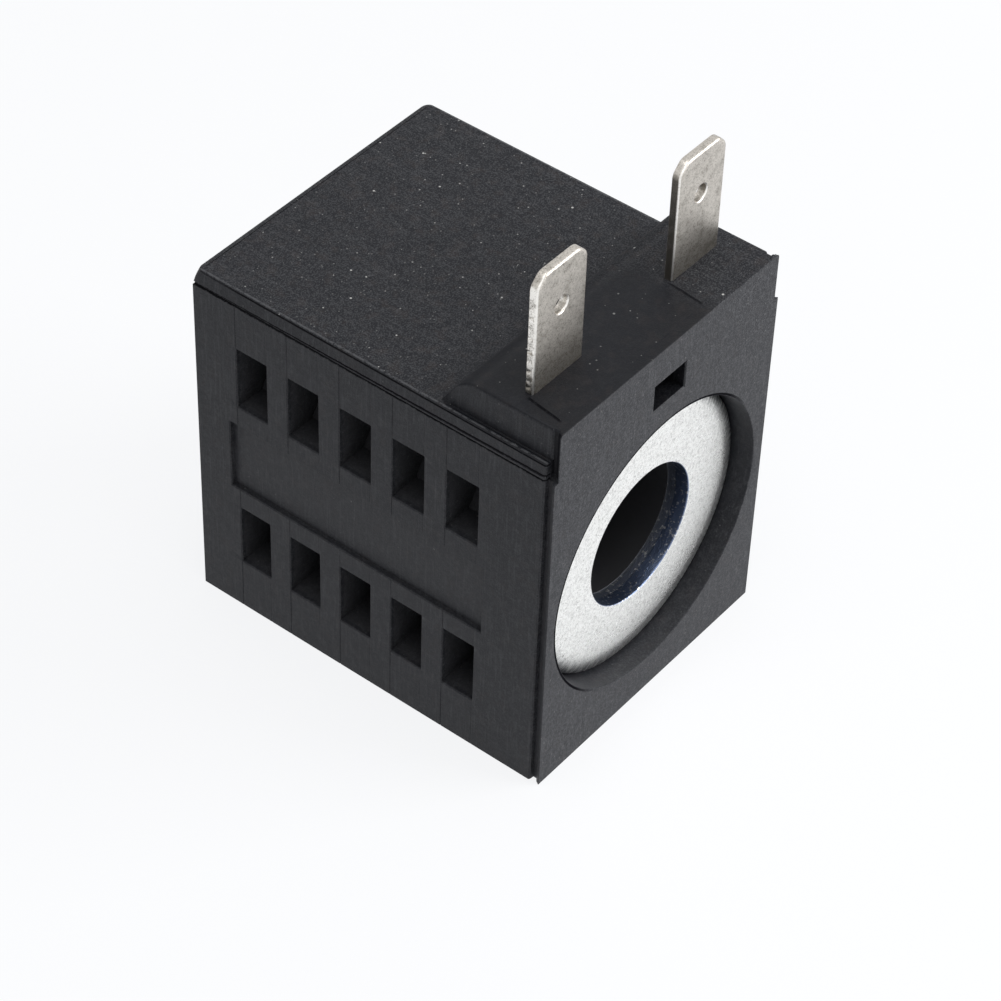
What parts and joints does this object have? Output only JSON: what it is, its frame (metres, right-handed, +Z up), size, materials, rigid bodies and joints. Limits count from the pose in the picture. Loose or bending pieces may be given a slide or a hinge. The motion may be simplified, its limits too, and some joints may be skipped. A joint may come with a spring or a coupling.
{
  "type": "solenoid valve coil",
  "caption": "Over-moulded solenoid valve coil: boxy casing with side windows, a through bore lined by flux washers and a bobbin, and two blade terminals on a raised block.",
  "frame": {"origin": "on the underside, below the middle of the casing", "axes": "+Z up towards the blade tips, -Y out of the front face that has the slot, +X to the right seen from the front; the bore runs along Y"},
  "size_m": [0.03, 0.0376, 0.0508],
  "materials": {
    "casing_plastic": "matte black, fine moulded grain",
    "zinc_plated_steel": "bright zinc plating",
    "sleeve_steel": "mill finish",
    "bobbin_plastic": "smooth black",
    "enamelled_copper": "copper wire under clear enamel",
    "wrap_film": "polyester film",
    "sleeving_plastic": "smooth",
    "tinned_brass": "dull tin plating",
    "solder": "bright solder"
  },
  "bodies": {
    "root": {"casing": "casing_plastic", "front_washer": "zinc_plated_steel", "rear_washer": "zinc_plated_steel", "flux_sleeve": "sleeve_steel", "bobbin": "bobbin_plastic", "winding": "enamelled_copper", "winding_tape": "wrap_film", "start_lead": "enamelled_copper", "start_lead_sleeving": "sleeving_plastic", "finish_lead": "enamelled_copper", "left_terminal": "tinned_brass", "right_terminal": "tinned_brass", "left_solder_joint": "solder", "right_solder_joint": "solder"}
  },
  "joints": []
}
